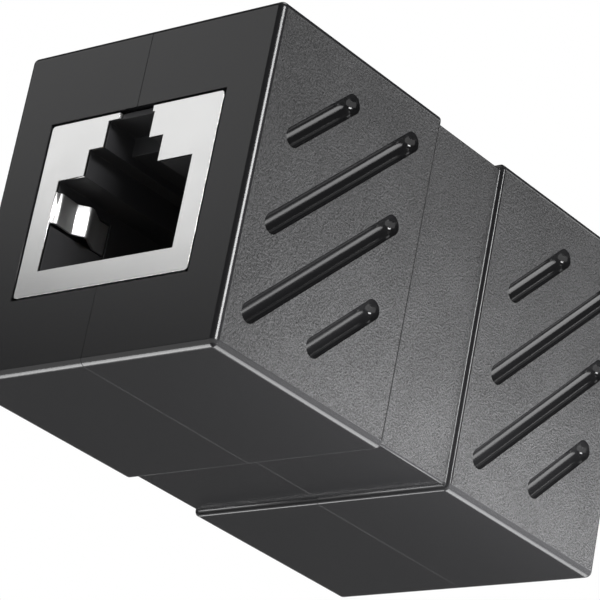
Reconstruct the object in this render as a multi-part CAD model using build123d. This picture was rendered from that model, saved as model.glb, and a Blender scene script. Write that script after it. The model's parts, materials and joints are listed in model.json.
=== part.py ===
from build123d import *
import os

# In-line coupler for two eight-pole modular network plugs.
# Two moulded half shells meet on a seam down the middle and hold a shielded jack at each end.
# The jacks stand back to back on an upright circuit board in the waist, which joins their contacts.
# X runs across the grooved sides, Y from the front socket to the rear one, and Z up to the latch side.
# The origin is the middle of the underside. All sizes are in millimetres.

# Housing, outside
housing_width = 22.8
housing_height = 24.3
housing_length = 41.2
end_length = 16.95
waist_step = 0.38
edge_round = 0.48
step_bevel = 0.12
waist_round = 0.15
seam_width = 0.07
seam_depth = 0.12

# Housing, where its halves join: pegs in the thick floor and roof, and tongues near the outside
peg_diameter = 1.6
peg_length = 1.8
peg_clearance = 0.05
lip_wall = 0.8
lip_thickness = 0.5
lip_height = 0.6
lip_clearance = 0.05
lip_end_gap = 3.0

# Grooves in each side: a short one, two long ones and a short one, side by side on a slant
groove_width = 1.4
groove_depth = 0.7
groove_pitch = 4.2
groove_slant = 45.0
groove_slide = 2.4
long_groove = 16.2
short_groove = 6.8

# Window in each end, and the bright sheet frame that fills it
window_width = 15.76
window_height = 13.08
window_drop = 0.18
frame_gap = 0.17
frame_recess = 0.05
sheet = 0.2
fold_round = 0.26
fold_gap = 3.0
fold_gap_length = 3.0
shield_slit = 0.3
shield_board_gap = 1.0
tab_width = 1.5
tab_heights = (3.4, 8.4)
tab_tail = 0.5

# Socket opening: room for the plug, its latch and the latch's raised arm
port_width = 12.0
port_height = 6.65
port_sill = 1.95
key_width = 6.66
key_height = 1.93
notch_width = 4.15
notch_height = 1.94
notch_shift = 0.38
notch_pocket = 2.75
notch_lintel = 1.37
socket_depth = 11.0
port_clearance = 0.04

# Ground springs, folded from the frame into both sides of the socket
spring_width = 2.2
spring_rise = 3.62
spring_lead = 0.32
spring_lead_depth = 0.45
spring_dip = 0.18
spring_dip_depth = 2.05
spring_bulge = 0.92
spring_bulge_depth = 2.8
spring_foot_depth = 4.5
spring_end_depth = 5.4
spring_bends = (0.3, 0.3, 0.35, 0.5)
spring_room = 0.45
spring_side_room = 0.15

# Jack body
fit = 0.05
body_stand_off = 1.08
post_diameter = 2.4
post_pad = 0.5
post_spread = 5.6
post_heights = (10.4, 6.4)
post_clearance = 0.05
core_width = 6.6
core_height = 4.0
core_wall = 2.6
core_top_wall = 1.1

# Contact wires
contact_count = 8
contact_pitch = 1.02
contact_width = 0.4
contact_thickness = 0.3
contact_floor = 0.42
contact_bend = 0.42
row_step = 2.54
hook_depth = 1.95
hook_height = 0.86
tip_depth = 12.0
tip_rise = 3.6
jog_gap = 4.48
pin_tail = 0.5

# Carrier moulded round the wires
carrier_side = 0.75
carrier_sink = 0.38
carrier_back_wall = 2.2
nose_gap = 0.38
hook_room = 0.5
moulding_gap = 0.02
comb_slot = 0.56
comb_depth = 1.6
comb_rise = 4.5
comb_cap = 0.4

# Circuit board. Its many pin holes are eight-sided, to keep them simple.
board_width = 19.0
board_height = 20.5
board_thickness = 1.6
board_clearance = 0.2
board_round = 0.8
pin_hole = 0.7
pin_hole_sides = 8
tab_clearance = 0.1

# Places that follow from the sizes
waist_length = housing_length - 2 * end_length
half_width = housing_width / 2
half_length = housing_length / 2
window_low = (housing_height - window_height) / 2 - window_drop
window_high = window_low + window_height
jack_face = frame_recess - half_length
board_depth = -board_thickness / 2 - jack_face
shield_half = window_width / 2 - frame_gap
shield_low = window_low + frame_gap
shield_high = window_high - frame_gap
shield_depth = board_depth - shield_board_gap
body_half = shield_half - sheet - fit
body_low = shield_low + sheet + fit
body_high = shield_high - sheet - fit
body_depth = board_depth - body_stand_off
jog_depth = board_depth - jog_gap
port_low = window_low + port_sill
port_high = port_low + port_height
key_high = port_high + key_height
notch_high = key_high + notch_height
spring_low = port_low + spring_rise
spring_high = spring_low + spring_width
run_height = body_low + contact_floor + contact_thickness / 2
pocket_front = hook_depth - contact_thickness / 2 - hook_room
carrier_nose = hook_depth + contact_bend + nose_gap
carrier_end = jog_depth + carrier_back_wall
carrier_half = (contact_count - 1) * contact_pitch / 2 + contact_width / 2 + carrier_side
carrier_top = port_low - carrier_sink
comb_top = port_low + comb_rise
peg_reach = (end_length + waist_length) / 2
groove_lengths = (short_groove, long_groove, long_groove, short_groove)
groove_count = len(groove_lengths)
half_turn = Rot(0, 0, 180)


# Shared helpers

def block(x_low, x_high, y_low, y_high, z_low, z_high):
    """A box between two corners."""
    middle = Pos((x_low + x_high) / 2, (y_low + y_high) / 2, (z_low + z_high) / 2)
    return middle * Box(x_high - x_low, y_high - y_low, z_high - z_low)


def at(depth):
    """The Y of a depth behind the face of the front frame."""
    return jack_face + depth


def strip(points, bends, thickness):
    """A bent strip's section: an even thickness along straight runs, with a radius for each bend."""
    return trace(FilletPolyline(*points, radius=bends), thickness)


# Housing

def end_block(inset):
    """The raised end at the front, drawn in by inset all round."""
    half = half_width - inset
    front = inset - half_length
    back = -waist_length / 2 - inset
    body = block(-half, half, front, back, inset, housing_height - inset)
    waist_edges = body.edges().group_by(Axis.Y)[-1]
    body = fillet(body.edges() - waist_edges, edge_round)
    rim = body.faces().sort_by(Axis.Y)[-1].edges()
    return chamfer(rim, step_bevel)


def housing_form(inset):
    """The outside of the closed housing, drawn in by inset all round."""
    front = end_block(inset)
    rear = half_turn * front
    side = half_width - waist_step - inset
    reach = waist_length / 2 + inset
    low = waist_step + inset
    waist = block(-side, side, -reach, reach, low, housing_height - low)
    waist = fillet(waist.edges().filter_by(Axis.Y), waist_round)
    return front + rear + waist


def groove(length, across):
    """One round-bottomed groove cutter in the right side, placed on the slant of the front end."""
    radius = (groove_depth**2 + (groove_width / 2) ** 2) / (2 * groove_depth)
    rod = Rot(0, 90, 0) * Cylinder(radius, length + 2 * radius)
    rod &= extrude(SlotCenterToCenter(length, groove_width), radius, both=True)
    along = groove_slide if across > 0 else -groove_slide
    rod = Rot(0, 0, groove_slant) * Pos(along, across, 0) * rod
    side_plane = Plane(
        origin=(half_width + radius - groove_depth, end_length / 2 - half_length, housing_height / 2),
        x_dir=(0, 1, 0),
        z_dir=(1, 0, 0),
    )
    return side_plane * rod


def grooves():
    """The groove cutters of both ends, in the right side."""
    cutters = []
    for row, length in enumerate(groove_lengths):
        across = ((groove_count - 1) / 2 - row) * groove_pitch
        cutter = groove(length, across)
        cutters += [cutter, Pos(0, end_length + waist_length, 0) * cutter]
    return cutters


def right_of_seam(width):
    """A block from the seam to the right, reaching past the housing's ends, floor and roof."""
    return block(0, width, -housing_length, housing_length, -housing_height, 2 * housing_height)


def half_shell():
    """The right half shell, a thick cradle round the jacks, without what joins it to the left half."""
    form = housing_form(0)
    half_window = window_width / 2
    shell = form - block(-half_window, half_window, -half_length, half_length, window_low, window_high)
    board_side = board_width / 2 + board_clearance
    board_low = (housing_height - board_height) / 2 - board_clearance
    slot_half = board_thickness / 2 + fit
    shell -= block(-board_side, board_side, -slot_half, slot_half, board_low, housing_height - board_low)
    shell -= grooves()
    shell -= (form - housing_form(seam_depth)) & right_of_seam(seam_width / 2)
    return shell & right_of_seam(housing_width)


def pegs(clearance):
    """The locating pegs across the seam, or the cutters of their holes."""
    length = peg_length + clearance
    peg = Rot(0, 90, 0) * Cylinder(peg_diameter / 2 + clearance, length)
    heights = (window_low / 2, (window_high + housing_height) / 2)
    return [Pos(-length / 2, y, z) * peg for y in (-peg_reach, peg_reach) for z in heights]


def lips(clearance):
    """The tongues along the seam in the floor and the roof, or the cutters of their slots."""
    reach = half_length - lip_end_gap + clearance
    low = lip_wall - clearance
    high = low + lip_thickness + 2 * clearance
    floor_lip = block(-lip_height - clearance, 0, -reach, reach, low, high)
    roof_lip = block(-lip_height - clearance, 0, -reach, reach, housing_height - high, housing_height - low)
    return [floor_lip, roof_lip]


# Shield

def port_cutter(grow, front, back, pocket):
    """The stepped opening. Past the pocket's depth the notch's roof is lower by the lintel."""
    y_front = at(front)
    y_back = at(back)
    half_port = port_width / 2 + grow
    half_key = key_width / 2 + grow
    half_notch = notch_width / 2 + grow
    cutter = block(-half_port, half_port, y_front, y_back, port_low - grow, port_high + grow)
    cutter += block(
        -notch_shift - half_key, half_key - notch_shift, y_front, y_back, port_high, key_high + grow
    )
    notch_left = -notch_shift - half_notch
    notch_right = half_notch - notch_shift
    lintel_low = notch_high - notch_lintel
    cutter += block(notch_left, notch_right, y_front, y_back, key_high, lintel_low + grow)
    cutter += block(notch_left, notch_right, y_front, at(pocket), key_high, notch_high + grow)
    return cutter


def ground_spring():
    """The spring on the right: a shallow lead-in, then a steep bulge into the plug's way."""
    beside_wall = port_width / 2 + sheet / 2
    section = strip(
        [
            (beside_wall, at(sheet / 2)),
            (beside_wall - spring_lead, at(spring_lead_depth)),
            (beside_wall - spring_dip, at(spring_dip_depth)),
            (beside_wall - spring_bulge, at(spring_bulge_depth)),
            (beside_wall + sheet / 2, at(spring_foot_depth)),
            (beside_wall + sheet / 2, at(spring_end_depth)),
        ],
        spring_bends,
        sheet,
    )
    return Pos(0, 0, spring_low) * extrude(section, spring_width, dir=(0, 0, 1))


def shield():
    """The front shield: one stamped sheet folded into a box that is open at the back."""
    back = at(shield_depth)
    outside = block(-shield_half, shield_half, at(0), back, shield_low, shield_high)
    outside = fillet(outside.edges().filter_by(Axis.Y), fold_round)
    inner_half = shield_half - sheet
    inside = block(-inner_half, inner_half, at(sheet), back, shield_low + sheet, shield_high - sheet)
    inside = fillet(inside.edges().filter_by(Axis.Y), fold_round - sheet)
    box = outside - inside
    box -= port_cutter(0, -sheet, 2 * sheet, 2 * sheet)
    half_gap = fold_gap / 2
    box -= block(-half_gap, half_gap, at(-sheet), at(fold_gap_length), key_high, shield_high + sheet)
    half_slit = shield_slit / 2
    roof_low = shield_high - 2 * sheet
    box -= block(-half_slit, half_slit, at(fold_gap_length / 2), back, roof_low, shield_high + sheet)
    right_spring = ground_spring()
    box += right_spring
    box += mirror(right_spring, Plane.YZ)
    tab_end = at(board_depth + board_thickness + tab_tail)
    for side, height in zip((-1, 1), tab_heights):
        low = shield_low + height
        left = side * (shield_half - sheet / 2) - sheet / 2
        box += block(left, left + sheet, at(shield_depth / 2), tab_end, low, low + tab_width)
    return box


# Jack body

def post_places():
    """X and Z of the front jack body's two posts."""
    return [(side * post_spread, body_low + height) for side, height in zip((-1, 1), post_heights)]


def jack_body():
    """The front jack's moulding: the stepped cavity, with pockets for springs and carrier."""
    front = at(sheet + fit)
    back = at(body_depth)
    body = block(-body_half, body_half, front, back, body_low, body_high)
    body = fillet(body.edges().filter_by(Axis.Y), fold_round - sheet)
    half_key = fold_gap / 2 - fit
    body += block(-half_key, half_key, front, at(fold_gap_length - fit), body_high - fit, shield_high)
    body -= port_cutter(port_clearance, 0, socket_depth, notch_pocket)
    wall = port_width / 2 + sheet + spring_room
    low = spring_low - spring_side_room
    high = spring_high + spring_side_room
    body -= block(-wall, wall, at(0), at(spring_end_depth + 2 * fit), low, high)
    half = carrier_half + fit
    body -= block(-half, half, at(pocket_front), back, body_low - fit, comb_top + fit)
    half_core = core_width / 2
    core_front = at(socket_depth + core_wall)
    core_high = body_high - core_top_wall
    body -= block(-half_core, half_core, core_front, back, core_high - core_height, core_high)
    pad_half = post_diameter / 2 + post_pad
    post = Rot(90, 0, 0) * Cylinder(post_diameter / 2, board_thickness)
    for x, z in post_places():
        body += block(x - pad_half, x + pad_half, back, at(board_depth), z - pad_half, z + pad_half)
        body += Pos(x, 0, z) * post
    return body


# Contacts and carrier

def contact_x(number):
    """X of a front contact, numbered from 0."""
    return (number - (contact_count - 1) / 2) * contact_pitch


def contact_wire(number, clearance):
    """A front contact: pin, run, hook at the mouth and the spring that leans back into the socket."""
    hook_top = run_height + hook_height
    points = [
        (at(hook_depth), run_height),
        (at(hook_depth), hook_top),
        (at(tip_depth), port_low + tip_rise),
    ]
    bends = [0, contact_bend]
    pin_height = run_height + row_step * (number % 2)
    if number % 2:
        points = [(at(jog_depth), pin_height), (at(jog_depth), run_height)] + points
        bends = [0, 0] + bends
    points = [(at(board_depth + board_thickness + pin_tail), pin_height)] + points
    section = strip(points, bends, contact_thickness + 2 * clearance)
    width = contact_width + 2 * clearance
    side_plane = Plane(origin=(contact_x(number) - width / 2, 0, 0), x_dir=(0, 1, 0), z_dir=(1, 0, 0))
    return extrude(side_plane * section, width, dir=(1, 0, 0))


def carrier():
    """The front carrier: a base moulded round the wires, fins between them and a comb for their tips."""
    half = carrier_half
    body = block(-half, half, at(carrier_nose), at(carrier_end), body_low, carrier_top)
    body += block(-half, half, at(socket_depth), at(carrier_end), body_low, comb_top)
    fin_half = (contact_pitch - comb_slot) / 2
    fin_top = port_low - port_clearance
    for number in range(contact_count + 1):
        x = contact_x(number) - contact_pitch / 2
        body += block(x - fin_half, x + fin_half, at(carrier_nose), at(socket_depth), carrier_top, fin_top)
    slot_half = comb_slot / 2
    slot_back = at(socket_depth + comb_depth)
    slot_high = comb_top - comb_cap
    for number in range(contact_count):
        x = contact_x(number)
        body -= block(x - slot_half, x + slot_half, at(socket_depth), slot_back, carrier_top, slot_high)
        body -= contact_wire(number, moulding_gap)
    return body


# Circuit board

def circuit_board():
    """The upright board, with holes for both jacks' pins, posts and tabs."""
    board = Pos(0, 0, housing_height / 2) * Box(board_width, board_thickness, board_height)
    board = fillet(board.edges().filter_by(Axis.Y), board_round)
    holes = []
    pin_outline = Plane.XZ * RegularPolygon(pin_hole / 2, pin_hole_sides, major_radius=False)
    pin_drill = extrude(pin_outline, board_thickness, both=True)
    for number in range(contact_count):
        holes.append(Pos(contact_x(number), 0, run_height + row_step * (number % 2)) * pin_drill)
    post_drill = Rot(90, 0, 0) * Cylinder(post_diameter / 2 + post_clearance, 2 * board_thickness)
    for x, z in post_places():
        holes.append(Pos(x, 0, z) * post_drill)
    for side, height in zip((-1, 1), tab_heights):
        middle = side * (shield_half - sheet / 2)
        half = sheet / 2 + tab_clearance
        z = shield_low + height - tab_clearance
        top = z + tab_width + 2 * tab_clearance
        holes.append(block(middle - half, middle + half, -board_thickness, board_thickness, z, top))
    board -= holes
    board -= [half_turn * hole for hole in holes]
    return board


# All the pieces, by node name

def pieces():
    """Every piece of the coupler. The rear jack is the front one turned half round."""
    shell = half_shell()
    front_shield = shield()
    front_body = jack_body()
    front_carrier = carrier()
    found = {
        "housing_right": shell + pegs(0) + lips(0),
        "housing_left": mirror(shell, Plane.YZ) - pegs(peg_clearance) - lips(lip_clearance),
        "shield_front": front_shield,
        "shield_rear": half_turn * front_shield,
        "jack_body_front": front_body,
        "jack_body_rear": half_turn * front_body,
        "contact_carrier_front": front_carrier,
        "contact_carrier_rear": half_turn * front_carrier,
        "circuit_board": circuit_board(),
    }
    for number in range(contact_count):
        wire = contact_wire(number, 0)
        found[f"contact_front_{number + 1}"] = wire
        found[f"contact_rear_{number + 1}"] = half_turn * wire
    return found


os.makedirs("parts", exist_ok=True)
for name, piece in pieces().items():
    export_step(piece, f"parts/{name}.step")
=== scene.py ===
import json
import math
import bmesh
import bpy
from mathutils import Matrix, Quaternion, Vector


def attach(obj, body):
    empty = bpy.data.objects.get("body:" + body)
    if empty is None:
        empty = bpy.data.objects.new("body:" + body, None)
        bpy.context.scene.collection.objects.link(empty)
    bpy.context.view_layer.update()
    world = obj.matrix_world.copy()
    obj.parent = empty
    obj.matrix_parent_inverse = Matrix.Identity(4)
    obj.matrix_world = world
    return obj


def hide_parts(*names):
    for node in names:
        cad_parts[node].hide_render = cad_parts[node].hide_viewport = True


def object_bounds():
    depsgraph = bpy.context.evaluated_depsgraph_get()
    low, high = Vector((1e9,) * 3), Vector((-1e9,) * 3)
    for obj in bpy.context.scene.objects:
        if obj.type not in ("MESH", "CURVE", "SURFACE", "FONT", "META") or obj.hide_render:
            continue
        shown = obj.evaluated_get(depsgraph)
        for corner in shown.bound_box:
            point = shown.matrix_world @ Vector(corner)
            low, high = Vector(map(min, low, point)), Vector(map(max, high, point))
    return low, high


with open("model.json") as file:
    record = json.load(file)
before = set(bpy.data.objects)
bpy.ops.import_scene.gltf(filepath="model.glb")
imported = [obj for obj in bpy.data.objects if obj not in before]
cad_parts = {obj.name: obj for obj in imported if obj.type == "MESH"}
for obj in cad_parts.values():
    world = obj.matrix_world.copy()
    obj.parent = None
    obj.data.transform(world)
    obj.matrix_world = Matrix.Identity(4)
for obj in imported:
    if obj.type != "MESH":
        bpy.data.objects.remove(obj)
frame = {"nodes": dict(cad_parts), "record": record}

# The dressed model of the in-line coupler, in metres, in the part's own frame:
# +X across the grooved sides, +Y from the front socket to the rear one, +Z up to the latch side.

MM = 0.001
packed_low, packed_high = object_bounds()
middle = (packed_low + packed_high) / 2
half_width = packed_high.x
half_length = packed_high.y
height = packed_high.z
ends = ("front", "rear")

# How close two points, or a point and a plane, count as one
same_point = 1e-8
on_plane = 1e-7
on_seam = 1e-5
same_cloth_point = 1e-6

# Housing: the waist, its steps, the window in each end and the room for the board
waist_half = 3.65 * MM
waist_step = 0.38 * MM
edge_round = 0.48 * MM
waist_round = 0.15 * MM
rim_round = 0.12 * MM
round_steps = 8
# Width of the band of each end's side, next to the step down to the waist, that is painted near
# black as shade
shade_band_width = 0.07 * MM
window_half = 7.88 * MM
window_low = 5.43 * MM
window_high = 18.51 * MM
slot_half = 9.7 * MM
slot_depth = 0.85 * MM
slot_low = 1.7 * MM
seam_gap = 0.002 * MM

# How widely edges are softened, and from what angle between its faces an edge counts as sharp
window_edge = 0.035 * MM
seam_edge = 0.035 * MM
groove_edge = 0.03 * MM
sheet_edge = 0.015 * MM
moulding_edge = 0.04 * MM
comb_edge = 0.03 * MM
bevel_steps = 2
soft_angle = math.radians(38)
sharp_angle = math.radians(40)
wire_sharp_angle = math.radians(35)
level_angle = math.radians(0.5)
window_zone = 0.4 * height
roof_zone = 0.9 * height
end_zone = 1.05 * edge_round

# Grooves: four on a slant in each end, and half the size of the area that they lie in
groove_radius = 0.7 * MM
groove_rows = 4
groove_pitch = 4.2 * MM
long_groove = 16.2 * MM
short_groove = 6.8 * MM
groove_slide = 2.4 * MM
groove_slant = math.radians(45)
end_middle = (half_length + waist_half) / 2
groove_zone_length = 7.6 * MM
groove_zone_height = 10.5 * MM
groove_segments = 32
groove_rings = 17

# What counts as the flat outer side: how far out it lies, as a share, and how squarely it faces out
outer_share = 0.95
facing_out = 0.9999

# What counts as a groove's wall: how far under the side it starts, and how many radii it goes down
groove_skin = 0.005 * MM
groove_reach = 1.05

# Sheet frame: what lies closer to the middle than this is folded into the socket
spring_room = 7.3 * MM
sheet_back = 20.3 * MM

# Contact wires: depths are behind the front frame's face, heights are above the underside
jack_face = 20.55 * MM
contact_pitch = 1.02 * MM
contact_count = 8
contact_width = 0.4 * MM
contact_thickness = 0.3 * MM
contact_bend = 0.4 * MM
contact_bend_steps = 6
section_round_share = 0.2
section_round_steps = 3
run_height = 6.42 * MM
row_step = 2.54 * MM
pin_depth = 21.85 * MM
jog_depth = 15.27 * MM
hook_depth = 1.95 * MM
hook_top = 7.28 * MM
tip_depth = 12.0 * MM
tip_height = 10.98 * MM


# Node trees

def add(tree, kind, **settings):
    """A node of that kind, with its settings."""
    node = tree.nodes.new(kind)
    for name, value in settings.items():
        setattr(node, name, value)
    return node


def join(tree, source, target):
    """A link from one socket to another, or a plain value set on the socket."""
    if isinstance(source, bpy.types.NodeSocket):
        tree.links.new(source, target)
    else:
        target.default_value = source


def calculate(tree, operation, *values):
    """The result of one sum on numbers or sockets."""
    node = add(tree, "ShaderNodeMath", operation=operation)
    for value, socket in zip(values, node.inputs):
        join(tree, value, socket)
    return node.outputs[0]


def all_of(tree, test, *others):
    """1 where every test gives 1, and 0 elsewhere."""
    for other in others:
        test = calculate(tree, "MULTIPLY", test, other)
    return test


def near(tree, value, target, reach):
    """1 where a number lies within that reach of the target, and 0 elsewhere."""
    gap = calculate(tree, "ABSOLUTE", calculate(tree, "SUBTRACT", value, target))
    return calculate(tree, "LESS_THAN", gap, reach)


def noise(tree, vector, scale, detail, roughness=0.5):
    """The value of a noise texture, from 0 to 1."""
    node = add(tree, "ShaderNodeTexNoise")
    join(tree, vector, node.inputs["Vector"])
    join(tree, scale, node.inputs["Scale"])
    join(tree, detail, node.inputs["Detail"])
    join(tree, roughness, node.inputs["Roughness"])
    return node.outputs["Fac"]


# Materials, shared groups

# Size of the pattern per metre, and how strongly the flow marks show beside the grain
flow_scale = 180.0
flow_share = 0.2
grain_middle = 0.6
grain_darkest = 0.2
stain_scale = 350.0
streak_stretch = (1.0, 0.06, 0.06)


def new_finish_group(name, grain_label):
    """A shader group with a finish's sockets, its given values, and the place on the object."""
    group = bpy.data.node_groups.new(name, "ShaderNodeTree")
    for label, kind in (
        (grain_label, "NodeSocketFloat"),
        ("Colour", "NodeSocketColor"),
        ("Colour Change", "NodeSocketFloat"),
        ("Roughness", "NodeSocketFloat"),
        ("Gloss Change", "NodeSocketFloat"),
    ):
        group.interface.new_socket(label, in_out="INPUT", socket_type=kind)
    for label, kind in (
        ("Height", "NodeSocketFloat"),
        ("Colour", "NodeSocketColor"),
        ("Roughness", "NodeSocketFloat"),
    ):
        group.interface.new_socket(label, in_out="OUTPUT", socket_type=kind)
    place = add(group, "ShaderNodeTexCoord").outputs["Object"]
    return group, add(group, "NodeGroupInput").outputs, place


def give_finish(group, inside, height, swing, darkest=0.0):
    """Ends a finish group with its height, and with colour and roughness changed by the swing."""
    outside = add(group, "NodeGroupOutput").inputs
    change = calculate(group, "MULTIPLY_ADD", swing, inside["Colour Change"], 1.0)
    tint = calculate(group, "MAXIMUM", change, darkest)
    colour = add(group, "ShaderNodeVectorMath", operation="SCALE")
    join(group, inside["Colour"], colour.inputs[0])
    join(group, tint, colour.inputs["Scale"])
    rough = calculate(group, "MULTIPLY_ADD", swing, inside["Gloss Change"], inside["Roughness"])
    join(group, height, outside["Height"])
    join(group, colour.outputs[0], outside["Colour"])
    join(group, rough, outside["Roughness"])
    return group


def moulded_grain_group():
    """Fine grain of a moulded surface over broad, faint flow marks."""
    group, inside, place = new_finish_group("moulded_grain", "Scale")
    pits = noise(group, place, inside["Scale"], detail=2.0, roughness=0.6)
    flow = noise(group, place, flow_scale, detail=3.0)
    both = calculate(group, "MULTIPLY_ADD", flow, flow_share, pits)
    swing = calculate(group, "SUBTRACT", both, grain_middle)
    return give_finish(group, inside, pits, swing, darkest=grain_darkest)


def rolled_streaks_group():
    """Fine streaks of rolled or drawn metal, long along Y and Z, over faint stains."""
    group, inside, place = new_finish_group("rolled_streaks", "Across")
    squeeze = add(group, "ShaderNodeVectorMath", operation="MULTIPLY")
    join(group, place, squeeze.inputs[0])
    join(group, streak_stretch, squeeze.inputs[1])
    streaks = noise(group, squeeze.outputs[0], inside["Across"], detail=3.0)
    stains = noise(group, place, stain_scale, detail=4.0)
    both = calculate(group, "ADD", streaks, stains)
    swing = calculate(group, "SUBTRACT", both, 1.0)
    return give_finish(group, inside, streaks, swing)


moulded_grain = moulded_grain_group()
rolled_streaks = rolled_streaks_group()


def bare_material(name):
    """A material with an empty tree, and the socket that its surface goes to."""
    material = bpy.data.materials.new(name)
    material.use_nodes = True
    tree = material.node_tree
    tree.nodes.clear()
    return material, tree, add(tree, "ShaderNodeOutputMaterial").inputs["Surface"]


def surface(name, group, values, relief, metallic=0.0, specular=0.5):
    """A finish: a shared group drives its colour, roughness and relief, which is in metres."""
    material, tree, shown = bare_material(name)
    shader = add(tree, "ShaderNodeBsdfPrincipled")
    join(tree, shader.outputs["BSDF"], shown)
    finish = add(tree, "ShaderNodeGroup", node_tree=group)
    for label, value in values.items():
        finish.inputs[label].default_value = value
    bump = add(tree, "ShaderNodeBump")
    bump.inputs["Distance"].default_value = relief
    join(tree, finish.outputs["Height"], bump.inputs["Height"])
    join(tree, finish.outputs["Colour"], shader.inputs["Base Color"])
    join(tree, finish.outputs["Roughness"], shader.inputs["Roughness"])
    join(tree, bump.outputs["Normal"], shader.inputs["Normal"])
    shader.inputs["Metallic"].default_value = metallic
    shader.inputs["Specular IOR Level"].default_value = specular
    return material


def plastic(
    name, colour, roughness, grain, relief, gloss_change=0.03, colour_change=0.1, specular=0.5
):
    """Moulded plastic."""
    values = {
        "Scale": grain,
        "Colour": (*colour, 1),
        "Colour Change": colour_change,
        "Roughness": roughness,
        "Gloss Change": gloss_change,
    }
    return surface(name, moulded_grain, values, relief, specular=specular)


def metal(name, colour, roughness, across, relief):
    """Plated metal with fine streaks."""
    values = {
        "Across": across,
        "Colour": (*colour, 1),
        "Colour Change": 0.05,
        "Roughness": roughness,
        "Gloss Change": 0.08,
    }
    return surface(name, rolled_streaks, values, relief, metallic=1.0)


satin_plastic = plastic(
    "housing_satin", (0.014, 0.014, 0.015), roughness=0.22, grain=3000.0, relief=0.5e-6
)
spark_plastic = plastic(
    "housing_spark_texture",
    (0.042, 0.042, 0.043),
    roughness=0.62,
    grain=7000.0,
    relief=250e-6,
    gloss_change=0.1,
    colour_change=2.8,
    specular=0.25,
)
# Painted shade: near-black matt plastic for the band beside each step, standing in for the shadow
# in the corner at the step
painted_shade_plastic = plastic(
    "housing_step_painted_shade",
    (0.003, 0.003, 0.003),
    roughness=0.7,
    grain=3000.0,
    relief=0.5e-6,
    specular=0.05,
)
groove_plastic = plastic(
    "housing_groove_polish", (0.008, 0.008, 0.0085), roughness=0.15, grain=3000.0, relief=0.5e-6
)
socket_plastic = plastic(
    "socket_plastic",
    (0.024, 0.024, 0.026),
    roughness=0.6,
    grain=3000.0,
    relief=3e-6,
    gloss_change=0.06,
)
board_laminate = plastic(
    "board_laminate",
    (0.03, 0.2, 0.09),
    roughness=0.35,
    grain=2000.0,
    relief=4e-6,
    gloss_change=0.1,
    colour_change=0.25,
)
shield_sheet = metal(
    "shield_sheet", (0.84, 0.84, 0.835), roughness=0.17, across=12000.0, relief=0.6e-6
)
# The springs are the frame's own sheet: their finish is rougher, and its colour is painted lighter
# as a painted highlight, so they show bright inside the dark socket
lightened_spring_sheet = metal(
    "lightened_spring_sheet", (0.9, 0.9, 0.895), roughness=0.36, across=12000.0, relief=0.6e-6
)
contact_plating = metal(
    "contact_plating", (0.85, 0.64, 0.3), roughness=0.2, across=9000.0, relief=0.4e-6
)

slot_materials = {
    "housing_plastic": satin_plastic,
    "socket_plastic": socket_plastic,
    "shield_sheet": shield_sheet,
    "contact_plating": contact_plating,
    "board_laminate": board_laminate,
}
slot_of = {part["node"]: part["material_slot"] for part in frame["record"]["subparts"]}

for name, slot in slot_of.items():
    node = frame["nodes"][name]
    node.data.materials.clear()
    node.data.materials.append(slot_materials[slot])


# Camera, found by fitting the corners of the block, the window and the socket to the photograph

camera_place = Vector((141.02, -149.36, -72.11)) * MM
camera_azimuth = math.radians(43.722)
camera_elevation = math.radians(-22.615)
camera_roll = math.radians(11.179)
camera_lens = 192.94


def direction(azimuth, elevation):
    """A unit vector. Azimuth 0 is the front, -Y, and 90 degrees is the right, +X."""
    flat = math.cos(elevation)
    return Vector((math.sin(azimuth) * flat, -math.cos(azimuth) * flat, math.sin(elevation)))


def place_camera():
    """The camera looks up at the part from the front right, and is rolled a little."""
    data = bpy.data.cameras.new("camera")
    data.lens = camera_lens
    data.clip_start = 0.01
    data.clip_end = 10
    camera = bpy.data.objects.new("camera", data)
    bpy.context.scene.collection.objects.link(camera)
    back = direction(camera_azimuth, camera_elevation)
    camera.location = camera_place
    camera.rotation_mode = "QUATERNION"
    camera.rotation_quaternion = back.to_track_quat("Z", "Y") @ Quaternion((0, 0, 1), camera_roll)
    bpy.context.scene.camera = camera


place_camera()


# Pieces, shared steps

def new_piece(name, mesh):
    """An object for that mesh, at the origin."""
    piece = bpy.data.objects.new(name, mesh)
    bpy.context.scene.collection.objects.link(piece)
    return piece


def mesh_of(name, bm):
    """A plain mesh from a finished bmesh, which is freed."""
    mesh = bpy.data.meshes.new(name)
    bm.to_mesh(mesh)
    bm.free()
    return mesh


def settle(piece):
    """Turns what the piece's modifiers give into its own plain mesh, and removes the modifiers."""
    bpy.context.view_layer.update()
    view = bpy.context.evaluated_depsgraph_get()
    mesh = bpy.data.meshes.new_from_object(
        piece.evaluated_get(view), preserve_all_data_layers=True, depsgraph=view
    )
    mesh.name = piece.name
    piece.modifiers.clear()
    piece.data = mesh


def soften(piece, width, by_weight=False):
    """Rounds the piece's sharp edges, then shades its rounds smooth and its flats flat."""
    bevel = piece.modifiers.new("softened edges", "BEVEL")
    bevel.width = width
    bevel.segments = bevel_steps
    bevel.limit_method = "WEIGHT" if by_weight else "ANGLE"
    bevel.angle_limit = soft_angle
    bevel.use_clamp_overlap = not by_weight
    settle(piece)
    for face in piece.data.polygons:
        face.use_smooth = True
    piece.data.set_sharp_from_angle(angle=sharp_angle)
    weighted = piece.modifiers.new("flat faces", "WEIGHTED_NORMAL")
    weighted.keep_sharp = True
    weighted.weight = 100
    settle(piece)


def stand_for(piece, *nodes):
    """The piece rides on the body and is shown in place of those nodes, which are hidden."""
    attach(piece, "root")
    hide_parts(*nodes)


# Geometry trees, shared steps

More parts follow.
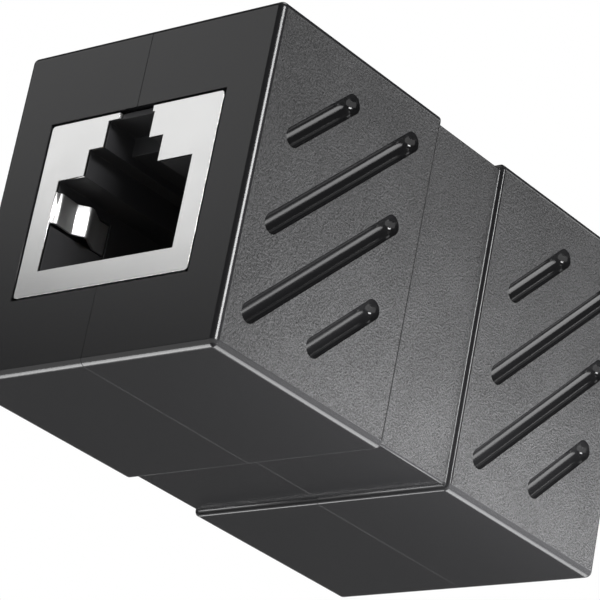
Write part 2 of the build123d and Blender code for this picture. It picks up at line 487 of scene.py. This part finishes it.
def new_geometry_tree(name, inputs):
    """A Geometry Nodes tree with a mesh in and out, and named inputs: (name, socket type)."""
    tree = bpy.data.node_groups.new(name, "GeometryNodeTree")
    tree.interface.new_socket("Geometry", in_out="INPUT", socket_type="NodeSocketGeometry")
    for label, kind in inputs:
        tree.interface.new_socket(label, in_out="INPUT", socket_type=kind)
    tree.interface.new_socket("Geometry", in_out="OUTPUT", socket_type="NodeSocketGeometry")
    return tree, add(tree, "NodeGroupInput").outputs, add(tree, "NodeGroupOutput").inputs


def apply_tree(piece, tree, values):
    """Runs the tree on the piece with those values, by input name, and keeps the plain result."""
    modifier = piece.modifiers.new(tree.name, "NODES")
    modifier.node_group = tree
    for item in tree.interface.items_tree:
        if item.in_out == "INPUT" and item.name in values:
            modifier[item.identifier] = values[item.name]
    settle(piece)


def vector_of(tree, x=0.0, y=0.0, z=0.0):
    """A vector from three numbers or sockets."""
    node = add(tree, "ShaderNodeCombineXYZ")
    for value, socket in zip((x, y, z), node.inputs):
        join(tree, value, socket)
    return node.outputs[0]


def paint(tree, mesh, material, where=None):
    """The mesh with that material on all its faces, or on those where the test gives 1."""
    node = add(tree, "GeometryNodeSetMaterial")
    join(tree, mesh, node.inputs["Geometry"])
    if where is not None:
        join(tree, where, node.inputs["Selection"])
    join(tree, material, node.inputs["Material"])
    return node.outputs["Geometry"]


def keep(tree, mesh, name, value):
    """The mesh with a number stored on each point under that name."""
    node = add(tree, "GeometryNodeStoreNamedAttribute", data_type="FLOAT", domain="POINT")
    join(tree, name, node.inputs["Name"])
    join(tree, mesh, node.inputs["Geometry"])
    join(tree, value, node.inputs["Value"])
    return node.outputs["Geometry"]


def kept(tree, name):
    """The number stored under that name."""
    node = add(tree, "GeometryNodeInputNamedAttribute", data_type="FLOAT")
    join(tree, name, node.inputs["Name"])
    return node.outputs["Attribute"]


def shifted(tree, mesh, offset):
    """The mesh with each of its points moved by the offset."""
    node = add(tree, "GeometryNodeSetPosition")
    join(tree, mesh, node.inputs["Geometry"])
    join(tree, offset, node.inputs["Offset"])
    return node.outputs["Geometry"]


def turned(tree, mesh, rotation, place=(0.0, 0.0, 0.0)):
    """The mesh turned, and then moved to the place."""
    node = add(tree, "GeometryNodeTransform")
    join(tree, mesh, node.inputs["Geometry"])
    join(tree, rotation, node.inputs["Rotation"])
    join(tree, place, node.inputs["Translation"])
    return node.outputs["Geometry"]


def line_of_points(tree, count, start, step):
    """That many points in a line."""
    node = add(tree, "GeometryNodeMeshLine")
    join(tree, count, node.inputs["Count"])
    join(tree, start, node.inputs["Start Location"])
    join(tree, step, node.inputs["Offset"])
    return node.outputs["Mesh"]


def realized(tree, instances):
    """The instances as real geometry."""
    node = add(tree, "GeometryNodeRealizeInstances")
    join(tree, instances, node.inputs["Geometry"])
    return node.outputs["Geometry"]


def copies_on(tree, points, mesh):
    """A real copy of the mesh on each of the points."""
    node = add(tree, "GeometryNodeInstanceOnPoints")
    join(tree, points, node.inputs["Points"])
    join(tree, mesh, node.inputs["Instance"])
    return realized(tree, node.outputs["Instances"])


# Grooves: balls drawn out into round-ended rods, four on a slant at each end, cut from the side

def groove_cutters(tree, given, place):
    """The round-ended rods of both ends, on their slants in the right side."""
    gaps = calculate(tree, "SUBTRACT", given["Rows"], 1.0)
    first = calculate(tree, "MULTIPLY", calculate(tree, "MULTIPLY", gaps, 0.5), given["Pitch"])
    back_step = calculate(tree, "MULTIPLY", given["Pitch"], -1.0)
    start, step = vector_of(tree, y=first), vector_of(tree, y=back_step)
    rows = line_of_points(tree, given["Rows"], start, step)
    across = place["Y"]
    outer = calculate(tree, "GREATER_THAN", calculate(tree, "ABSOLUTE", across), given["Pitch"])
    shorter = calculate(tree, "SUBTRACT", given["Short"], given["Long"])
    length = calculate(tree, "MULTIPLY_ADD", outer, shorter, given["Long"])
    rows = keep(tree, rows, "reach", calculate(tree, "MULTIPLY", length, 0.5))
    along = calculate(tree, "MULTIPLY", calculate(tree, "SIGN", across), given["Slide"])
    rows = shifted(tree, rows, vector_of(tree, x=along))

    ball = add(tree, "GeometryNodeMeshUVSphere")
    join(tree, groove_segments, ball.inputs["Segments"])
    join(tree, groove_rings, ball.inputs["Rings"])
    join(tree, given["Radius"], ball.inputs["Radius"])
    laid = turned(tree, ball.outputs["Mesh"], (0.0, math.pi / 2, 0.0))
    half_balls = keep(tree, laid, "way", calculate(tree, "SIGN", place["X"]))

    balls = copies_on(tree, rows, half_balls)
    draw = calculate(tree, "MULTIPLY", kept(tree, "way"), kept(tree, "reach"))
    rods = shifted(tree, balls, vector_of(tree, x=draw))
    rods = turned(tree, rods, vector_of(tree, z=given["Slant"]))
    cutters = add(tree, "GeometryNodeJoinGeometry")
    for way in (-1.0, 1.0):
        end = calculate(tree, "MULTIPLY", given["End Middle"], way)
        spot = vector_of(tree, given["Side"], end, given["Middle Height"])
        on_side = turned(tree, rods, (math.pi / 2, 0.0, math.pi / 2), spot)
        join(tree, on_side, cutters.inputs["Geometry"])
    return cutters.outputs["Geometry"]


def side_grooves_tree():
    """Cuts the grooves of both ends from the right side of a shell, and gives it its finishes; the
    band beside each step is painted shade.
    """
    tree, given, out = new_geometry_tree(
        "side_grooves",
        [
            ("Radius", "NodeSocketFloat"),
            ("Rows", "NodeSocketInt"),
            ("Pitch", "NodeSocketFloat"),
            ("Long", "NodeSocketFloat"),
            ("Short", "NodeSocketFloat"),
            ("Slide", "NodeSocketFloat"),
            ("Slant", "NodeSocketFloat"),
            ("Side", "NodeSocketFloat"),
            ("End Middle", "NodeSocketFloat"),
            ("Middle Height", "NodeSocketFloat"),
            ("Shade Band Middle", "NodeSocketFloat"),
            ("Shade Band", "NodeSocketFloat"),
            ("Satin", "NodeSocketMaterial"),
            ("Spark Texture", "NodeSocketMaterial"),
            ("Painted Shade Finish", "NodeSocketMaterial"),
            ("Polish", "NodeSocketMaterial"),
        ],
    )
    split = add(tree, "ShaderNodeSeparateXYZ")
    join(tree, add(tree, "GeometryNodeInputPosition").outputs[0], split.inputs[0])
    place = split.outputs
    cut = add(tree, "GeometryNodeMeshBoolean", operation="DIFFERENCE", solver="EXACT")
    join(tree, given["Geometry"], cut.inputs["Mesh 1"])
    join(tree, groove_cutters(tree, given, place), cut.inputs["Mesh 2"])
    shell = paint(tree, realized(tree, cut.outputs["Mesh"]), given["Satin"])

    facing = add(tree, "ShaderNodeSeparateXYZ")
    join(tree, add(tree, "GeometryNodeInputNormal").outputs[0], facing.inputs[0])
    from_middle = calculate(tree, "ABSOLUTE", place["Y"])
    nearly_out = calculate(tree, "MULTIPLY", given["Side"], outer_share)
    on_side = calculate(tree, "GREATER_THAN", place["X"], nearly_out)
    flat = calculate(tree, "GREATER_THAN", facing.outputs["X"], facing_out)
    side = all_of(tree, on_side, flat)
    shell = paint(tree, shell, given["Spark Texture"], side)

    # Painted shade: the band of the side next to each step gets the near-black finish
    on_shade_band = near(tree, from_middle, given["Shade Band Middle"], given["Shade Band"])
    shell = paint(tree, shell, given["Painted Shade Finish"], all_of(tree, side, on_shade_band))

    below_side = calculate(tree, "SUBTRACT", given["Side"], groove_skin)
    depth = calculate(tree, "MULTIPLY", given["Radius"], groove_reach)
    groove_floor = calculate(tree, "SUBTRACT", given["Side"], depth)
    wall = all_of(
        tree,
        near(tree, from_middle, given["End Middle"], groove_zone_length),
        near(tree, place["Z"], given["Middle Height"], groove_zone_height),
        calculate(tree, "GREATER_THAN", place["X"], groove_floor),
        calculate(tree, "LESS_THAN", place["X"], below_side),
    )
    join(tree, paint(tree, shell, given["Polish"], wall), out["Geometry"])
    return tree


# Housing: two half shells, each drawn through sections along its length

def quarter_round(steps):
    """The sine and cosine at each step of a quarter round."""
    angles = [math.pi / 2 * step / steps for step in range(steps + 1)]
    return [(math.sin(angle), math.cos(angle)) for angle in angles]


def sections():
    """The housing's sections, front to back: Y, how far it is drawn in, and its corners' radius."""
    found = [
        (edge_round * (1 - cosine) - half_length, edge_round * (1 - sine), edge_round * sine)
        for sine, cosine in quarter_round(round_steps)
    ]
    found.append((-waist_half - rim_round - shade_band_width, 0.0, edge_round))
    turns = quarter_round(round_steps // 2)
    rim = [(rim_round * (sine - 1), rim_round * (1 - cosine)) for sine, cosine in turns]
    foot = [
        (rim_round * (1 - cosine), waist_step - rim_round * (1 - sine)) for sine, cosine in turns
    ]
    slope = (waist_round - edge_round) / waist_step
    for along, inset in rim + foot:
        found.append((along - waist_half, inset, edge_round + slope * inset))
    return found + [(-y, inset, radius) for y, inset, radius in reversed(found)]


def section_points(inset, radius):
    """One section of the right half, from the seam at the bottom round to the seam at the top."""
    side, top = half_width - inset - radius, height - inset
    turns = quarter_round(round_steps)
    low = [(side + radius * sine, inset + radius * (1 - cosine)) for sine, cosine in turns]
    high = [(side + radius * cosine, top - radius * (1 - sine)) for sine, cosine in turns]
    return [(seam_gap, inset), *low, *high, (seam_gap, top)]


def outside_form():
    """The right half's outside, closed along the seam."""
    bm = bmesh.new()
    loops = []
    for y, inset, radius in sections():
        loops.append([bm.verts.new((x, y, z)) for x, z in section_points(inset, radius)])
    for before, after in zip(loops, loops[1:]):
        for one in range(len(before) - 1):
            bm.faces.new((before[one], before[one + 1], after[one + 1], after[one]))
    bm.faces.new(loops[0])
    bm.faces.new(loops[-1])
    bm.faces.new([loop[0] for loop in loops] + [loop[-1] for loop in reversed(loops)])
    bmesh.ops.remove_doubles(bm, verts=bm.verts, dist=same_point)
    bmesh.ops.recalc_face_normals(bm, faces=bm.faces)
    return mesh_of("outside_form", bm)


def box_mesh(name, low, high):
    """A box between two corners."""
    bm = bmesh.new()
    bmesh.ops.create_cube(bm, size=1)
    for vert in bm.verts:
        vert.co = [a + (b - a) * (part + 0.5) for a, b, part in zip(low, high, vert.co)]
    return mesh_of(name, bm)


def hollow(piece, low, high):
    """Cuts a box from the piece."""
    cutter = new_piece("cutter", box_mesh("cutter", low, high))
    cut = piece.modifiers.new("hollow", "BOOLEAN")
    cut.operation = "DIFFERENCE"
    cut.solver = "EXACT"
    cut.object = cutter
    settle(piece)
    bpy.data.objects.remove(cutter)


def softening(edge):
    """How widely an edge of the shell is softened. Edges inside and round ones stay as they are."""
    if len(edge.link_faces) != 2 or edge.calc_face_angle() < sharp_angle:
        return 0.0
    one, two = (Vector((abs(vert.co.x), *vert.co.yz)) for vert in edge.verts)
    along_seam = max(one.x, two.x) < on_seam
    if min(abs(one.y), abs(two.y)) > half_length - on_plane and not along_seam:
        on_window = abs(one.z - middle.z) < window_zone
        return window_edge if on_window else 0.0
    in_floor_or_roof = min(one.z, two.z) < window_low / 2 or max(one.z, two.z) > roof_zone
    at_end = max(abs(one.y), abs(two.y)) > half_length - end_zone
    if along_seam and (in_floor_or_roof or at_end):
        return seam_edge
    return groove_edge if min(one.x, two.x) > half_width - on_plane else 0.0


def weigh_edges(piece):
    """Gives each edge of the shell its share of the widest softening."""
    bm = bmesh.new()
    bm.from_mesh(piece.data)
    bmesh.ops.remove_doubles(bm, verts=bm.verts, dist=same_point)
    weight = bm.edges.layers.float.new("bevel_weight_edge")
    for edge in bm.edges:
        edge[weight] = softening(edge) / window_edge
    bm.to_mesh(piece.data)
    bm.free()


def half_shells():
    """Both halves of the housing. The left one is the right one mirrored."""
    tree = side_grooves_tree()
    right = new_piece("housing_shell_right", outside_form())
    right.data.materials.append(satin_plastic)
    apply_tree(
        right,
        tree,
        {
            "Radius": groove_radius,
            "Rows": groove_rows,
            "Pitch": groove_pitch,
            "Long": long_groove,
            "Short": short_groove,
            "Slide": groove_slide,
            "Slant": groove_slant,
            "Side": half_width,
            "End Middle": end_middle,
            "Middle Height": height / 2,
            "Shade Band Middle": waist_half + rim_round + shade_band_width / 2,
            "Shade Band": shade_band_width,
            "Satin": satin_plastic,
            "Spark Texture": spark_plastic,
            "Painted Shade Finish": painted_shade_plastic,
            "Polish": groove_plastic,
        },
    )
    far = half_length + MM
    hollow(right, (-MM, -far, window_low), (window_half, far, window_high))
    hollow(right, (-MM, -slot_depth, slot_low), (slot_half, slot_depth, height - slot_low))
    bm = bmesh.new()
    bm.from_mesh(right.data)
    bmesh.ops.scale(bm, vec=(-1, 1, 1), verts=bm.verts)
    bmesh.ops.reverse_faces(bm, faces=bm.faces)
    left = new_piece("housing_shell_left", mesh_of("housing_shell_left", bm))
    for material in right.data.materials:
        left.data.materials.append(material)
    for shell in (right, left):
        weigh_edges(shell)
        soften(shell, window_edge, by_weight=True)
    stand_for(right, "housing_right")
    stand_for(left, "housing_left")


half_shells()


# Sheet and moulded pieces inside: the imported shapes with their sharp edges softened

def softened_copy(name, node_name, width):
    """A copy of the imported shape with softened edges, shown in its place."""
    bm = bmesh.new()
    bm.from_mesh(frame["nodes"][node_name].data)
    bmesh.ops.remove_doubles(bm, verts=bm.verts, dist=on_plane)
    bmesh.ops.dissolve_limit(bm, angle_limit=level_angle, verts=bm.verts, edges=bm.edges)
    piece = new_piece(name, mesh_of(name, bm))
    piece.data.materials.clear()
    piece.data.materials.append(slot_materials[slot_of[node_name]])
    soften(piece, width)
    stand_for(piece, node_name)
    return piece


def finish_springs(sheet):
    """Gives the part of the sheet that is folded into the socket the springs' finish: rougher than
    the frame's, and painted lighter.
    """
    sheet.data.materials.append(lightened_spring_sheet)
    for face in sheet.data.polygons:
        place = face.center
        if abs(place.x) < spring_room and abs(place.y) < sheet_back:
            face.material_index = 1


for end in ends:
    finish_springs(softened_copy(f"frame_sheet_{end}", f"shield_{end}", sheet_edge))
    softened_copy(f"socket_moulding_{end}", f"jack_body_{end}", moulding_edge)
    softened_copy(f"contact_comb_{end}", f"contact_carrier_{end}", comb_edge)
softened_copy("joining_board", "circuit_board", moulding_edge)


# Contact wires: a bent path with a rounded flat section, repeated across the socket

def rounded_corners(tree, curve, radius, steps):
    """The curve with each corner turned into a round of that many steps."""
    node = add(tree, "GeometryNodeFilletCurve")
    node.mode = "POLY"
    join(tree, curve, node.inputs["Curve"])
    join(tree, radius, node.inputs["Radius"])
    join(tree, steps, node.inputs["Count"])
    join(tree, True, node.inputs["Limit Radius"])
    return node.outputs["Curve"]


def contact_row_tree():
    """Runs a rounded flat section along the bent path, and repeats the wire across the socket."""
    tree, given, out = new_geometry_tree(
        "contact_row",
        [
            ("Width", "NodeSocketFloat"),
            ("Thickness", "NodeSocketFloat"),
            ("Bend", "NodeSocketFloat"),
            ("Count", "NodeSocketInt"),
            ("Pitch", "NodeSocketFloat"),
            ("First", "NodeSocketFloat"),
            ("Plating", "NodeSocketMaterial"),
        ],
    )
    path = add(tree, "GeometryNodeMeshToCurve")
    join(tree, given["Geometry"], path.inputs["Mesh"])
    bent = rounded_corners(tree, path.outputs["Curve"], given["Bend"], contact_bend_steps)
    upright = add(tree, "GeometryNodeSetCurveNormal", mode="FREE")
    join(tree, bent, upright.inputs["Curve"])
    join(tree, (1.0, 0.0, 0.0), upright.inputs["Normal"])
    section = add(tree, "GeometryNodeCurvePrimitiveQuadrilateral")
    join(tree, given["Width"], section.inputs["Width"])
    join(tree, given["Thickness"], section.inputs["Height"])
    ease = calculate(tree, "MULTIPLY", given["Thickness"], section_round_share)
    wire = add(tree, "GeometryNodeCurveToMesh")
    join(tree, upright.outputs["Curve"], wire.inputs["Curve"])
    eased = rounded_corners(tree, section.outputs["Curve"], ease, section_round_steps)
    join(tree, eased, wire.inputs["Profile Curve"])
    join(tree, True, wire.inputs["Fill Caps"])
    first, step = vector_of(tree, x=given["First"]), vector_of(tree, x=given["Pitch"])
    wires = copies_on(tree, line_of_points(tree, given["Count"], first, step), wire.outputs["Mesh"])
    join(tree, paint(tree, wires, given["Plating"]), out["Geometry"])
    return tree


def path_mesh(name, points):
    """The wire's path as a run of edges in the plane across the socket."""
    mesh = bpy.data.meshes.new(name)
    edges = [(one, one + 1) for one in range(len(points) - 1)]
    mesh.from_pydata([(0, depth - jack_face, z) for depth, z in points], edges, [])
    return mesh


def contact_wires():
    """The contact wires of both sockets. Every other pin sits in a higher row of the board."""
    tree = contact_row_tree()
    spring = [(hook_depth, run_height), (hook_depth, hook_top), (tip_depth, tip_height)]
    low_pins = [(pin_depth, run_height)] + spring
    high = run_height + row_step
    high_pins = [(pin_depth, high), (jog_depth, high), (jog_depth, run_height)] + spring
    bm = bmesh.new()
    for first, points in ((0, low_pins), (1, high_pins)):
        wires = new_piece("wires", path_mesh("wires", points))
        apply_tree(
            wires,
            tree,
            {
                "Width": contact_width,
                "Thickness": contact_thickness,
                "Bend": contact_bend,
                "Count": contact_count // 2,
                "Pitch": 2 * contact_pitch,
                "First": (first - (contact_count - 1) / 2) * contact_pitch,
                "Plating": contact_plating,
            },
        )
        bm.from_mesh(wires.data)
        bpy.data.objects.remove(wires)
    bmesh.ops.remove_doubles(bm, verts=bm.verts, dist=same_point)
    bmesh.ops.recalc_face_normals(bm, faces=bm.faces)
    front = mesh_of("contacts_front", bm)
    rear = front.copy()
    rear.name = "contacts_rear"
    rear.transform(Matrix.Rotation(math.pi, 4, "Z"))
    for end, mesh in zip(ends, (front, rear)):
        mesh.materials.clear()
        mesh.materials.append(contact_plating)
        for face in mesh.polygons:
            face.use_smooth = True
        mesh.set_sharp_from_angle(angle=wire_sharp_angle)
        piece = new_piece(f"contacts_{end}", mesh)
        stand_for(piece, *(f"contact_{end}_{number + 1}" for number in range(contact_count)))


contact_wires()


# Stage: a pale floor that shows from above only, a white backdrop, a dark cloth tent and soft lamps

floor_half = 0.6
floor_low = -0.05 * MM
floor_white = 0.86
room_strength = 0.35

# The tent's holes, in degrees: azimuth and elevation of the front opening, elevation of the band
# that is open all round, and the patch of that band that stays shut
tent_radius = 1.5
tent_grey = 0.03
tent_grid = 10
opening_turn = (-70, -38)
opening_rise = (21.8, 40)
band_rise = (-50, 10)
shade_turn = (-152, -122)
shade_rise = (-29, -9)

lamp_distance = 0.7


def mixed(tree, share, first, second, target):
    """Two shaders mixed into one: the first where the share is 0, the second where it is 1."""
    mix = add(tree, "ShaderNodeMixShader")
    join(tree, share, mix.inputs[0])
    join(tree, first, mix.inputs[1])
    join(tree, second, mix.inputs[2])
    join(tree, mix.outputs[0], target)


def floor():
    """The floor the coupler stands on. It lets light and the low camera through from below."""
    mesh = bpy.data.meshes.new("floor")
    signs = ((-1, -1), (1, -1), (1, 1), (-1, 1))
    corners = [(x * floor_half, y * floor_half, floor_low) for x, y in signs]
    mesh.from_pydata(corners, [], [(0, 1, 2, 3)])
    material, tree, shown = bare_material("floor_paper")
    paper = add(tree, "ShaderNodeBsdfDiffuse")
    paper.inputs["Color"].default_value = (floor_white, floor_white, floor_white, 1)
    clear = add(tree, "ShaderNodeBsdfTransparent")
    side = add(tree, "ShaderNodeNewGeometry")
    path = add(tree, "ShaderNodeLightPath")
    front = calculate(tree, "SUBTRACT", 1.0, side.outputs["Backfacing"])
    seen = calculate(tree, "MULTIPLY", path.outputs["Is Camera Ray"], front)
    mixed(tree, seen, clear.outputs[0], paper.outputs[0], shown)
    mesh.materials.append(material)
    piece = new_piece("floor", mesh)


floor()


def backdrop():
    """White where the camera looks past the part and in what it mirrors, pale grey as a light."""
    world = bpy.data.worlds.new("backdrop")
    bpy.context.scene.world = world
    world.use_nodes = True
    tree = world.node_tree
    tree.nodes.clear()
    lights = []
    for strength in (room_strength, 1.0):
        light = add(tree, "ShaderNodeBackground")
        light.inputs["Color"].default_value = (1, 1, 1, 1)
        light.inputs["Strength"].default_value = strength
        lights.append(light.outputs[0])
    path = add(tree, "ShaderNodeLightPath")
    seen = calculate(tree, "MAXIMUM", path.outputs["Is Camera Ray"], path.outputs["Is Glossy Ray"])
    seen = calculate(tree, "MAXIMUM", seen, path.outputs["Is Transmission Ray"])
    mixed(tree, seen, *lights, add(tree, "ShaderNodeOutputWorld").inputs["Surface"])


backdrop()


def within(angle, span):
    """Whether the angle is in that span."""
    return span[0] <= angle < span[1]


def is_open(turn, rise):
    """Whether the tent has a hole in that direction."""
    if within(turn, opening_turn) and within(rise, opening_rise):
        return True
    shaded = within(turn, shade_turn) and within(rise, shade_rise)
    return within(rise, band_rise) and not shaded


def dark_tent():
    """Dark cloth over the stage, which only shows in gloss. White shows through its holes."""
    turns = sorted({*range(-180, 180, tent_grid), *opening_turn, *shade_turn})
    rises = sorted({*range(-90, 91, tent_grid), *opening_rise, *band_rise, *shade_rise})
    bm = bmesh.new()
    grid = []
    for rise in rises:
        ways = [direction(math.radians(turn), math.radians(rise)) for turn in turns]
        grid.append([bm.verts.new(way * tent_radius) for way in ways])
    for rise, below, above in zip(rises, grid, grid[1:]):
        for one, turn in enumerate(turns):
            if not is_open(turn, rise):
                two = (one + 1) % len(turns)
                bm.faces.new((below[one], below[two], above[two], above[one]))
    bmesh.ops.remove_doubles(bm, verts=bm.verts, dist=same_cloth_point)
    bmesh.ops.recalc_face_normals(bm, faces=bm.faces)
    bmesh.ops.reverse_faces(bm, faces=bm.faces)
    tent = new_piece("dark_tent", mesh_of("dark_tent", bm))
    tent.location = middle
    tent.visible_camera = False
    tent.visible_diffuse = False
    tent.visible_transmission = False
    tent.visible_volume_scatter = False
    tent.visible_shadow = False
    material, tree, shown = bare_material("tent_cloth")
    cloth = add(tree, "ShaderNodeEmission")
    cloth.inputs["Color"].default_value = (tent_grey, tent_grey, tent_grey, 1)
    join(tree, cloth.outputs[0], shown)
    material.cycles.emission_sampling = "NONE"
    tent.data.materials.append(material)


dark_tent()


def soft_lamp(name, place, aim, along, size, level):
    """A flat lamp that faces the aim, its first side along the given way. Level is brightness."""
    light = bpy.data.lights.new(name, "AREA")
    light.shape = "RECTANGLE"
    light.size, light.size_y = size
    light.energy = 4 * size[0] * size[1] * level
    lamp = bpy.data.objects.new(name, light)
    bpy.context.scene.collection.objects.link(lamp)
    away = (place - aim).normalized()
    across = (Vector(along) - away * away.dot(Vector(along))).normalized()
    facing = Matrix((across, away.cross(across), away)).transposed()
    lamp.location = place
    lamp.rotation_mode = "QUATERNION"
    lamp.rotation_quaternion = facing.to_quaternion()
    lamp.visible_camera = False
    return lamp


for name, way, along, size, level in (
    ("edge_lamp", (0.853, -0.353, 0.385), (0.383, 0.924, 0.0), (0.32, 0.15), 19),
    ("low_left_lamp", (-0.638, 0.0, -0.77), (0.0, 1.0, 0.0), (0.48, 0.2), 6),
    ("low_back_lamp", (0.0, 0.667, -0.745), (1.0, 0.0, 0.0), (0.48, 0.24), 4.5),
    ("back_lamp", (0.489, 0.783, 0.385), (0.848, -0.53, 0.0), (0.32, 0.28), 2.4),
    ("top_lamp", (0.05, 0.07, 0.99), (1.0, 0.0, 0.0), (0.35, 0.35), 2.5),
):
    soft_lamp(name, middle + Vector(way).normalized() * lamp_distance, middle, along, size, level)

# A small lamp close to the side, wholly below the floor, that shows on matt surfaces only
side_low = Vector((half_width, 14 * MM, 5 * MM))
side_lamp = Vector((27, 14, -5.3)) * MM
low_side = soft_lamp("low_side_lamp", side_lamp, side_low, (0.0, 1.0, 0.0), (0.06, 0.01), 16.5)
low_side.visible_glossy = False

bpy.context.scene.view_settings.view_transform = "Standard"
